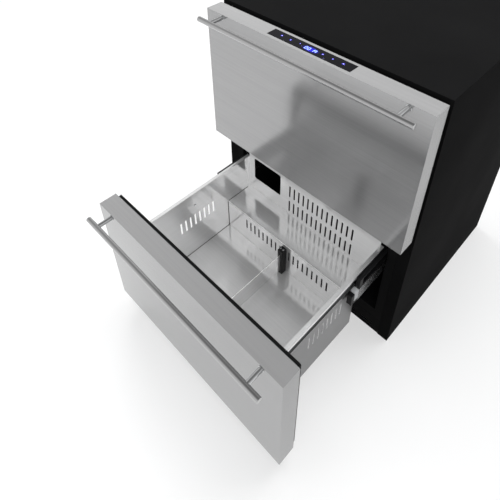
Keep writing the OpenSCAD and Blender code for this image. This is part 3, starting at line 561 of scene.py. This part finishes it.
def tub_side(f):
    """Second material for the side walls of a tub, third for their outside, a darker copy of the same
    steel that is a painted shade.
    """
    if not side_face(f):
        return 0
    middle = f.calc_center_median().x
    outward = abs(middle) > (TUB_X + SHEET / 2) * MM and f.normal.x * middle > 0
    wall = f.calc_area() > 1e-4  # the edges of the slots are smaller
    return 2 if outward and wall else 1


# Cabinet


def outer_edge(e):
    """True for the folds on the outside of the cabinet wrap; its raw rear rim stays square."""
    ends = [v.co for v in e.verts]
    near, rear_band = 0.2, 45
    outside = all(abs(v.x) > (CAB_X - near) * MM or v.z > (CAB_Z - near) * MM for v in ends)
    return outside and min(v.y for v in ends) < point(0, CAB_Y - rear_band, 0).y


dressed("cabinet_shell", 1.2, LOOK["cabinet_paint"], 3, keep=outer_edge)
dressed("front_frame", 0.5, LOOK["frame_paint"])
dressed("kick_grille", 0.5, LOOK["frame_paint"])
dressed("mullion_bar", 0.6, LOOK["frame_paint"])
dressed("inner_liner", 0.6, LOOK["liner"])
dressed("base_pan", 0.3, LOOK["zinc"])
dressed("rear_grille", 0.25, LOOK["zinc"])
dressed("evaporator_cover", 0.5, LOOK["liner"])
dressed("cabinet_rails", 0.3, LOOK["slide_zinc"])

# pieces that keep their CAD mesh
for name, key in (
    ("foam_insulation", "foam"), ("machine_bay_panel", "zinc"),
    ("compressor", "compressor_black"), ("compressor_grommets", "rubber"),
    ("condenser", "fins"), ("condenser_fan_shroud", "black_plastic"),
    ("condenser_fan_motor", "black_plastic"), ("condenser_fan", "black_plastic"),
    ("evaporator", "fins"), ("evaporator_fan_motor", "black_plastic"),
    ("evaporator_fan", "black_plastic"), ("control_box", "pale_plastic"),
    ("refrigerant_lines", "copper"), ("upper_front_core", "foam"), ("lower_front_core", "foam"),
):
    plain = NODES[name].data.materials
    plain.clear()
    plain.append(LOOK[key])


def back_panel():
    """The back panel with three pressed stiffening beads."""
    bm = rounded_copy("back_panel", 0.25)
    spacing, half_w, z0, z1 = 160, 11, 250, 740
    for x in (-spacing, 0, spacing):
        rings = []
        for inset, rise in ((0, 0.02), (2.2, 0.5), (5.2, 1.3), (7.4, 1.4)):
            outline = rounded_rect(x - half_w + inset, x + half_w - inset, z0 + inset, z1 - inset,
                                   half_w - inset)
            rings.append([point(a, CAB_Y + rise, b) for a, b in outline])
        rings_into(bm, rings)
    ob = finish_mesh(bm, "looks_back_panel", LOOK["zinc"], "cabinet", SLOT_OF["back_panel"])
    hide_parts("back_panel")


back_panel()


def gland():
    """Strain relief: flange and ribbed sleeve with its bore left open."""
    # (radius, distance behind the back) round the profile
    prof = [(4.0, -22), (8.0, -22), (8.0, 0), (12.0, 0), (12.0, 1.2), (10.6, 1.8),
            (10.6, 2.4), (9.6, 2.8), (9.6, 3.4), (6.4, 4), (4.4, 4), (4.0, 3.4)]
    x, _, z = mount("cord_gland")
    bm = bmesh.new()
    rings_into(bm, [[point(x + r * math.cos(a), CAB_Y + t, z + r * math.sin(a)) for a in circle(48)]
                    for r, t in prof], closed=True)
    ob = finish_mesh(bm, "looks_power_gland", LOOK["black_plastic"], "cabinet", SLOT_OF["power_gland"])
    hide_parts("power_gland")


gland()


def feet():
    """Levelling feet: pad with a rounded rim and a grip, lock nut and threaded stud."""
    # outlines as (radius, height)
    pad = [(0, 0), (16.8, 0), (17.7, 0.5), (18, 1.4), (17.6, 3.2), (15.5, 4.6), (10.5, 5.3),
           (8, 5.5), (0, 5.5)]
    grip_r, grip_z = 17.2, 0.6
    rib = [(0.5, 0), (0.7, 0.3), (0.7, 2.4), (0.3, 2.9)]
    nut = ((6.9, 5.5), (7.5, 6.1), (7.5, 9.1), (6.9, 9.65))
    pitch, turns = 0.9, 39
    stud = [(3.9, 9.6)]
    for k in range(turns):
        z = 10 + k * pitch
        stud += [(3.98, z), (3.55, z + pitch / 2)]
    stud += [(3.5, 45.2), (0, 45.5)]
    for name in ("front_left", "front_right", "rear_left", "rear_right"):
        x, y, _ = mount(name + "_pad")
        bm = bmesh.new()
        turned_into(bm, (x, y, 0), "Z", pad, 48)
        for a in circle(24):
            at = (x + grip_r * math.cos(a), y + grip_r * math.sin(a), grip_z)
            turned_into(bm, at, "Z", rib, 8)
        rings_into(bm, [[point(x + r * math.cos(a), y + r * math.sin(a), z) for a in circle(6)]
                        for r, z in nut])
        turned_into(bm, (x, y, 0), "Z", stud, 28)
        ob = finish_mesh(bm, "looks_foot_" + name, LOOK["black_plastic"], name + "_foot",
                         "black_plastic", angle=28)
        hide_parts("foot_" + name)


feet()


def cabinet_screws():
    """The screws of the back panel and of the rear grille below it."""
    inset, channel, sheet = 20, 1.5, 1
    z0, z1 = span("rear_grille", "Z")
    top = span("back_panel", "Z")[1]
    right = span("back_panel", "X")[1] - inset
    bm = bmesh.new()
    for x in (-right, right):
        for z in (z1 + inset, (z1 + top) / 2, top - inset, z0 + inset, z1 - channel - inset):
            shank_into(bm, (x, CAB_Y - sheet, z), "Y", 1.05)
            head_into(bm, (x, CAB_Y, z), "Y")
    ob = finish_mesh(bm, "looks_cabinet_screws", LOOK["screws"], "cabinet", "screws")
    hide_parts("cabinet_screws")


cabinet_screws()


def weld_seam():
    """The weld bead round the compressor shell."""
    shell_r, bead_z, half_h = 68, 72, 2.6
    x = sum(span("compressor", "X")) / 2
    y = span("compressor", "Y")[0] + shell_r
    bead = [(shell_r + 1.6 * math.cos(a), bead_z + half_h * math.sin(a))
            for a in map(math.radians, range(-90, 91, 30))]
    prof = [(shell_r - 0.4, bead_z - half_h), *bead, (shell_r - 0.4, bead_z + half_h)]
    bm = bmesh.new()
    rings_into(bm, [[point(x + r * math.cos(a), y + r * math.sin(a), z) for a in circle(64)]
                    for r, z in prof], closed=True)
    finish_mesh(bm, "compressor_weld", LOOK["compressor_black"], "cabinet", "compressor_black")


weld_seam()

# Drawers


def gasket(d):
    """A hollow bellows gasket: magnet bead at the frame, two folds, a dart into the front."""
    # (distance in from the outer edge, y) round the profile
    prof = [(1.2, -10), (1.2, -8.6), (0.2, -7.6), (1.6, -6.2), (0.2, -4.8), (1.2, -3.6),
            (0.0, -2.6), (0.0, -1.0), (0.7, -0.45), (6.0, -0.42), (13.5, -0.42), (19.2, -0.5),
            (20, -1.1), (20, -2.8), (18.8, -3.8), (19.8, -5.0), (18.4, -6.4), (19.8, -7.8),
            (18.8, -8.8), (18.8, -10)]
    x0, x1 = span(d + "_gasket", "X")
    z0, z1 = span(d + "_gasket", "Z")
    rings = []
    for inset, y in prof:
        corner_r = max(1.0, 4 - inset * 0.15)
        outline = rounded_rect(x0 + inset, x1 - inset, z0 + inset, z1 - inset, corner_r, 4)
        rings.append([point(a, y + SHIFT[d], b) for a, b in outline])
    bm = bmesh.new()
    rings_into(bm, rings, closed=True)
    ob = finish_mesh(bm, "looks_%s_gasket" % d, LOOK["rubber"], d + "_drawer", "rubber", angle=20)
    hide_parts(d + "_gasket")


def handle(d):
    """Bar with turned ends and two standoffs with a collar at the front."""
    dy = SHIFT[d]
    z = TOP[d] - HANDLE_DROP
    r = BAR_R
    end = [(0, BAR_X), (r - 1.4, BAR_X), (r - 0.5, BAR_X - 0.4), (r, BAR_X - 1.2), (r, 60)]
    outline = [(a, -t) for a, t in end] + end[::-1]
    bm = bmesh.new()
    turned_into(bm, (0, BAR_Y + dy, z), "X", outline, 64)
    ob = finish_mesh(bm, "looks_%s_handle_bar" % d, LOOK["handle_steel"], d + "_drawer", "handle_steel")
    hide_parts(d + "_handle_bar")
    # (radius, distance before the front) of a post and its collar
    post = [(0, 36), (POST_R, 36), (POST_R, 2.2), (POST_R, 1.2), (6.6, 1), (6.6, 0.3),
            (6.2, 0), (0, 0)]
    bm = bmesh.new()
    for x in (-POST_X, POST_X):
        turned_into(bm, (x, dy, z), "Y", [(a, FRONT_Y - t) for a, t in post], 48)
    ob = finish_mesh(bm, "looks_%s_handle_posts" % d, LOOK["post_steel"], d + "_drawer", "post_steel")
    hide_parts(d + "_handle_posts")


def screws(d):
    """Screws behind the handle's posts and in the tub's front wall, rivets in its side walls."""
    dy = SHIFT[d]
    skin_in = FRONT_Y + dy + 1
    wall = TUB_Y + dy
    front_x, front_drops = 170, (26, 100)
    rivet_ys, rivet_drop = (165, 356), 42
    z = TOP[d] - HANDLE_DROP
    bm = bmesh.new()
    for x in (-POST_X, POST_X):
        shank_into(bm, (x, skin_in - 9, z), "Y", 9)
        head_into(bm, (x, skin_in, z), "Y")
    for x in (-front_x, 0, front_x):
        for drop in front_drops:
            shank_into(bm, (x, wall - 11.2, RIM[d] - drop), "Y", 11.1)
            head_into(bm, (x, wall, RIM[d] - drop), "Y")
    for s in (-1, 1):
        rivet = [(0, 0), (3, 0), (2.9, -s * 0.5), (2.2, -s * 0.95), (1.1, -s * 1.15), (0, -s * 1.2)]
        for y in rivet_ys:
            at = (s * TUB_X, dy + y, RIM[d] - rivet_drop)
            shank_into(bm, at, "X", s * 2.65)
            turned_into(bm, at, "X", rivet, 28)
    ob = finish_mesh(bm, "looks_%s_screws" % d, LOOK["screws"], d + "_drawer", "screws")
    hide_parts(d + "_screws")


def folds(d):
    """Bend radii along the inner corners of a tub."""
    x, z = TUB_X, FLOOR[d]
    front, step, rear = (y + SHIFT[d] for y in (TUB_Y, STEP_Y, REAR_Y))
    back = step if d == "lower" else rear + SHEET
    up, backward, forward = (0, 0, 1), (0, 1, 0), (0, -1, 0)
    rear_flange = 12
    bm = bmesh.new()
    for s in (-1, 1):
        inward = (-s, 0, 0)
        fold_into(bm, (s * x, front, z), (s * x, back, z), inward, up)
        fold_into(bm, (s * x, front, z + 1), (s * x, front, RIM[d] - SHEET), inward, backward)
    fold_into(bm, (-x, front, z), (x, front, z), backward, up)
    if d == "lower":
        fold_into(bm, (-x, step, z), (x, step, z), forward, up)
        fold_into(bm, (-x, rear, STEP_Z), (x, rear, STEP_Z), forward, up)
        flange = rear + SHEET - rear_flange
        for s in (-1, 1):
            fold_into(bm, (s * x, step + 2, STEP_Z), (s * x, flange, STEP_Z), (-s, 0, 0), up)
    else:
        fold_into(bm, (-x, rear, z), (x, rear, z), forward, up)
    finish_mesh(bm, d + "_tub_folds", LOOK["tub_x"], d + "_drawer", "tub_steel", angle=35)


def lips(d):
    """The turned-down lip along the outer edge of each side flange of a tub."""
    # (distance from the middle, height over the rim) round the profile
    prof = ((229.6, 0.25), (231.2, 0.15), (232.3, -0.5), (232.95, -1.6), (233.05, -3.0),
            (233.05, -9.2), (232.8, -10.0), (232.2, -10.2), (231.8, -9.6), (231.8, -3.2),
            (231.0, -1.2))
    ends = (-8, 354)
    bm = bmesh.new()
    for s in (-1, 1):
        rings_into(bm, [[point(s * a, y + SHIFT[d], RIM[d] + b) for a, b in prof] for y in ends])
    finish_mesh(bm, d + "_tub_lips", LOOK["tub_y"], d + "_drawer", "tub_steel", angle=40)


def blocks(d):
    """The pale plastic block on the front end of each middle member, in its dark bracket."""
    node = d + "_end_blocks"
    y0, y1 = span(node, "Y")
    outer = span(node, "X")[1]
    inner, length, height, gap = 230.2, 15, 32, 0.2
    z1 = RIM[d] - 41
    z0 = z1 - height
    bm = bmesh.new()
    for s in (-1, 1):
        box_into(bm, sorted((s * inner, s * outer)), (y1 - length, y1), (z0, z1), 1.0, 3)
    pale = len(bm.faces)
    for s in (-1, 1):
        x = sorted((s * (inner + gap), s * (outer - gap)))
        box_into(bm, x, (y0, y1 - length - gap), (z0 - 6, z1 - 3), 1.0, 3)
        box_into(bm, x, (y1 - length - gap, y1), (z0 - 9, z0 - gap), 1.0, 3)
    for i, f in enumerate(bm.faces):
        f.material_index = 0 if i < pale else 1
    ob = finish_mesh(bm, "looks_" + node, [LOOK["pale_plastic"], LOOK["black_plastic"]],
                     BODY_OF[node], SLOT_OF[node])
    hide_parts(node)


def bead_face(d):
    """Picks the second material for the dark bead along the top of a middle member."""
    under_rim = 38
    return lambda f: 1 if f.calc_center_median().z > (RIM[d] - under_rim) * MM else 0


for d in DRAWERS:
    # the side faces of a front skin get the darker copy of its steel, a painted shade
    dressed(d + "_front_skin", 1.3, [LOOK["front_steel"], LOOK["front_steel_side_painted_shade"]], 3, pick=side_face)
    dressed(d + "_front_panel", 0.6, LOOK["inner_panel"])
    gasket(d)
    handle(d)
    screws(d)
    dressed(d + "_tub", 0.35, [LOOK["tub_x"], LOOK["tub_y"], LOOK["tub_outer_painted_shade"]], pick=tub_side)
    dressed(d + "_rear_panel", 0.35, [LOOK["tub_x"], LOOK["tub_y"]], pick=side_face)
    folds(d)
    lips(d)
    dressed(d + "_slide_members", 0.3, LOOK["slide_dark"])
    dressed(d + "_slide_middles", 0.3, [LOOK["slide_zinc"], LOOK["slide_black"]], pick=bead_face(d))
    blocks(d)
    dressed(d + "_end_caps", 0.8, LOOK["black_plastic"], 3)

# the step's rounded front edge gets the near-white steel, a painted highlight
dressed("lower_step", 1.0, [LOOK["tub_x"], LOOK["tub_y"], LOOK["painted_highlight_edge"]], 3, pick=step_face)
dressed("control_glass", 0.4, LOOK["glass"])
dressed("control_housing", 0.4, LOOK["black_plastic"])


def crease_shade_and_highlight():
    """Thin dark beads in the inner corners of the lower tub, a painted shade in the creases, and a
    near-white strip on the step's edge, a painted highlight.
    """
    z, w, bevel, run = FLOOR["lower"], 0.95, 0.2, 90
    front = TUB_Y + 0.2 + SHIFT["lower"]
    step = STEP_Y + SHIFT["lower"]
    bm = bmesh.new()
    # dark beads laid in the tub's folds, where only shade falls: a painted shade
    for s in (-1, 1):
        x = sorted((s * TUB_X, s * (TUB_X - w)))
        box_into(bm, x, (front, step), (z, z + w), bevel)
        box_into(bm, x, (step - w, step), (z + w, STEP_Z - 1), bevel)
        box_into(bm, x, (step + 3, step + run), (STEP_Z, STEP_Z + w), bevel)
    finish_mesh(bm, "lower_tub_painted_crease_shade", LOOK["rubber"], "lower_drawer", "rubber")
    bm = bmesh.new()
    # a near-white strip along the step's top edge: a painted highlight
    x = (1 - TUB_X, TUB_X - 1)
    box_into(bm, x, (step + 0.1, step + 1.7), (STEP_Z, STEP_Z + 0.5), bevel)
    finish_mesh(bm, "lower_step_painted_highlight", LOOK["painted_highlight_edge"], "lower_drawer", "tub_steel")


crease_shade_and_highlight()
# the divider plate's top gets the near-white steel, a painted highlight
dressed("divider_plate", 0.4, [LOOK["tub_y"], LOOK["painted_highlight_edge"]], 3, pick=top_edge)
dressed("divider_clips", 0.35, LOOK["black_plastic"])

# Display on the control glass

LAMP_Z = GLASS_Z + 0.06
HALO_Z = GLASS_Z + 0.03
DIGITS_Y = -32.8
LAMP_Y = -30.6
# middle and radius of each symbol
LAMPS = ((-79.3, LAMP_Y, 1.5), (-53.6, LAMP_Y - 1, 1.4), (-29.3, LAMP_Y + 1.4, 0.9),
         (-21, LAMP_Y - 4, 0.5), (31.8, LAMP_Y, 1.5), (57.5, LAMP_Y, 1.2), (83.5, LAMP_Y, 1.6),
         (42, LAMP_Y - 11.4, 0.4))


def disc_into(bm, x, y, r0, r1, n=28):
    """A flat ring, or a disc where r0 is 0."""
    turns = [(math.cos(a), math.sin(a)) for a in (math.radians(360 * i / n) for i in range(n + 1))]
    for (c, s), (c2, s2) in zip(turns, turns[1:]):
        bm.faces.new([bm.verts.new(point(x + r * u, y + r * v, LAMP_Z))
                      for r, u, v in ((r0, c, s), (r1, c, s), (r1, c2, s2), (r0, c2, s2))])


def bar_into(bm, x0, y0, x1, y1, w):
    """A flat bar of width w from one point to another."""
    a, b = Vector((x0, y0)), Vector((x1, y1))
    along = (b - a).normalized()
    n = Vector((-along.y, along.x)) * w / 2
    bm.faces.new([bm.verts.new(point(p.x, p.y, LAMP_Z)) for p in (a - n, b - n, b + n, a + n)])


def digit_into(bm, x, y, segments):
    """A figure of a seven-segment display."""
    h, w, thick = 4.6, 2.5, 1.3
    lines = {"a": (-w, h, w, h), "b": (w, h, w, 0), "c": (w, 0, w, -h), "d": (-w, -h, w, -h),
             "e": (-w, 0, -w, -h), "f": (-w, h, -w, 0), "g": (-w, 0, w, 0)}
    for k in segments:
        x0, y0, x1, y1 = (v * 0.92 for v in lines[k])
        bar_into(bm, x + x0, y + y0, x + x1, y + y1, thick)


def glow_into(bm, layer, x, y, rx, ry, peak, n=28, rings=5):
    """An oval patch whose glow fades from the middle to the edge."""
    rows = []
    for k in range(rings):
        q = k / (rings - 1)
        reach = max(q, 0.02)
        row = [bm.verts.new(point(x + rx * reach * math.cos(a), y + ry * reach * math.sin(a), HALO_Z))
               for a in circle(n)]
        for v in row:
            v[layer] = (1 - q) * peak
        rows.append(row)
    bm.faces.new(rows[0])
    for p, q in zip(rows, rows[1:]):
        for i in range(n):
            j = (i + 1) % n
            bm.faces.new((p[i], q[i], q[j], p[j]))


def display():
    """Lit generic symbols and digits on the glass strip, with their halos."""
    bm = bmesh.new()
    for k, (x, y, r) in enumerate(LAMPS):
        if r < 1:
            disc_into(bm, x, y, 0, r)
        elif k % 2:
            disc_into(bm, x, y, r * 0.45, r)
        else:
            bar_into(bm, x - r, y - r * 0.6, x, y + r * 0.8, 1.0)
            bar_into(bm, x, y + r * 0.8, x + r, y - r * 0.6, 1.0)
            bar_into(bm, x - r * 0.5, y - r * 0.1, x + r * 0.5, y - r * 0.1, 0.9)
    finish_mesh(bm, "control_icons", LOOK["icons"], "upper_drawer", "glass", weighted=False)
    bm = bmesh.new()
    for x, segments in ((-10.2, "abcdef"), (-2.2, "abcdef"), (7.5, "bc"), (14.0, "abcfg")):
        digit_into(bm, x, DIGITS_Y, segments)
    finish_mesh(bm, "control_digits", LOOK["digits"], "upper_drawer", "glass", weighted=False)
    bm = bmesh.new()
    layer = bm.verts.layers.float.new("glow")
    glow_into(bm, layer, 1.9, DIGITS_Y, 24, 11, 1.6)
    for x, y, r in LAMPS:
        if r >= 0.9:
            glow_into(bm, layer, x, y, r * 3.2, r * 3.2, 0.9)
    finish_mesh(bm, "control_halo", LOOK["halo"], "upper_drawer", "glass", weighted=False)


display()


def clip_screws():
    """Bright screws on top of the divider's rear clip."""
    spread, half_clip = 4.5, 9
    y = span("divider_clips", "Y")[1] - half_clip
    z = span("divider_clips", "Z")[1]
    bm = bmesh.new()
    for x in (-spread, spread):
        head_into(bm, (x, y, z), "Z", 2.2, 1.2)
    finish_mesh(bm, "divider_screws", LOOK["screws"], "divider", "screws")


clip_screws()

# Stage and light

AIM = (0, -0.2, 0.4)


def seen(tree):
    """1 for camera, glossy and transmission rays, 0 for the rays that light the scene."""
    paths = tree.nodes.new("ShaderNodeLightPath")
    last = paths.outputs["Is Camera Ray"]
    for kind in ("Is Glossy Ray", "Is Transmission Ray"):
        most = tree.nodes.new("ShaderNodeMath")
        most.operation = "MAXIMUM"
        tree.links.new(last, most.inputs[0])
        tree.links.new(paths.outputs[kind], most.inputs[1])
        last = most.outputs[0]
    return last


def floor():
    """A pale floor that looks white and, to the rays that light the scene, is a plain grey."""
    half, drop = 14.0, 0.0004
    me = bpy.data.meshes.new("floor")
    me.from_pydata([(-half, -half, 0), (half, -half, 0), (half, half, 0), (-half, half, 0)], [],
                   [(0, 1, 2, 3)])
    ob = bpy.data.objects.new("floor", me)
    bpy.context.collection.objects.link(ob)
    ob.location.z = -drop
    m = Nodes("floor")
    matt = m.new("ShaderNodeBsdfDiffuse")
    m.link(m.ramp(m.noise(0.8, 3.0, 0.5), (0.44, 0.44, 0.44), (0.46, 0.46, 0.46)),
           matt.inputs["Color"])
    m.link(m.bump(m.noise(420.0, 2.0, 0.5), 0.05, 0.0002), matt.inputs["Normal"])
    bright, dark = m.new("ShaderNodeEmission"), m.new("ShaderNodeEmission")
    bright.inputs["Strength"].default_value = 0.52
    dark.inputs["Strength"].default_value = 0.0
    pick = m.new("ShaderNodeMixShader")
    both = m.new("ShaderNodeAddShader")
    m.link(seen(m.tree), pick.inputs[0])
    m.link(dark.outputs[0], pick.inputs[1])
    m.link(bright.outputs[0], pick.inputs[2])
    m.link(matt.outputs[0], both.inputs[0])
    m.link(pick.outputs[0], both.inputs[1])
    m.link(both.outputs[0], m.out.inputs["Surface"])
    me.materials.append(m.mat)


floor()


def world():
    """White all round, greyer overhead, for what is seen; a soft dimmer light for the rest."""
    w = bpy.data.worlds.new("studio")
    bpy.context.scene.world = w
    w.use_nodes = True
    nodes, link = w.node_tree.nodes, w.node_tree.links.new
    nodes.clear()
    where = nodes.new("ShaderNodeTexCoord")
    split = nodes.new("ShaderNodeSeparateXYZ")
    sky = nodes.new("ShaderNodeValToRGB")
    low, high = sky.color_ramp.elements
    low.position, high.position = 0.34, 0.98
    low.color, high.color = (1, 1, 1, 1), (0.2, 0.2, 0.2, 1)
    white = nodes.new("ShaderNodeBackground")
    white.inputs["Strength"].default_value = 1.0
    soft = nodes.new("ShaderNodeBackground")
    soft.inputs["Color"].default_value = (0.97, 0.985, 1.0, 1)
    soft.inputs["Strength"].default_value = 0.42
    mix = nodes.new("ShaderNodeMixShader")
    out = nodes.new("ShaderNodeOutputWorld")
    link(where.outputs["Generated"], split.inputs[0])
    link(split.outputs["Z"], sky.inputs["Fac"])
    link(sky.outputs["Color"], white.inputs["Color"])
    link(seen(w.node_tree), mix.inputs[0])
    link(soft.outputs[0], mix.inputs[1])
    link(white.outputs[0], mix.inputs[2])
    link(mix.outputs[0], out.inputs["Surface"])


world()


def softbox(name, at, aim, size, power, mirrored=True):
    """A square area light, in metres and watts; shiny faces show it only where it is mirrored."""
    li = bpy.data.lights.new(name, "AREA")
    li.shape = "RECTANGLE"
    li.size = li.size_y = size
    li.energy = power
    ob = bpy.data.objects.new(name, li)
    bpy.context.collection.objects.link(ob)
    ob.location = at
    ob.rotation_euler = (Vector(aim) - Vector(at)).to_track_quat("-Z", "Y").to_euler()
    ob.visible_glossy = mirrored
    ob.visible_camera = False


softbox("key", (-2.2, 0.8, 3.2), AIM, 1.4, 42, False)
softbox("front", (-2.1, -2.4, 2.5), AIM, 2.6, 28, False)
softbox("top", (-0.3, -0.4, 3.6), AIM, 1.8, 43, False)
softbox("fill", (2.3, -2.5, 2.6), AIM, 3.0, 16)
softbox("back", (0.5, 0.9, 3.4), (0, -0.4, 0.4), 1.6, 50, False)

bpy.context.scene.view_settings.view_transform = "Standard"
